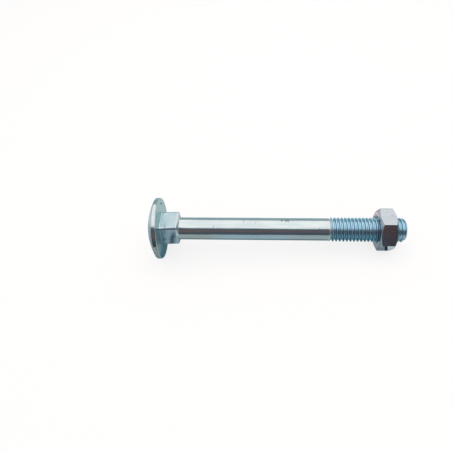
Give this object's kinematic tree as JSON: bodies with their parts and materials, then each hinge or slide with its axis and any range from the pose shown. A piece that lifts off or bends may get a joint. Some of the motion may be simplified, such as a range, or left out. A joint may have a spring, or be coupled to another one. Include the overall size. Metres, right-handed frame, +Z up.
{
  "type": "carriage bolt with nut",
  "caption": "Long carriage bolt with a domed head, a square neck, a plain shank and a threaded end that carries a hexagon nut.",
  "frame": {"origin": "centre of the head's underside, on the axis of the shank", "axes": "+X runs from the head towards the threaded end, +Z up; the axis slopes down by 2.9 degrees towards the threaded end, as the bolt rests on its head and its nut"},
  "size_m": [0.1265, 0.0306, 0.0306],
  "materials": {
    "bolt_steel": "bright zinc plate with a faint blue tint",
    "nut_steel": "bright zinc plate with a faint blue and pink tint"
  },
  "bodies": {
    "bolt": {"bolt": "bolt_steel"},
    "nut": {"nut": "nut_steel"}
  },
  "joints": [
    {"name": "nut_travel", "type": "slide", "parent": "bolt", "child": "nut", "axis": [0.9987, 0, -0.0507], "range_m": [-0.021, 0.0105]}
  ]
}
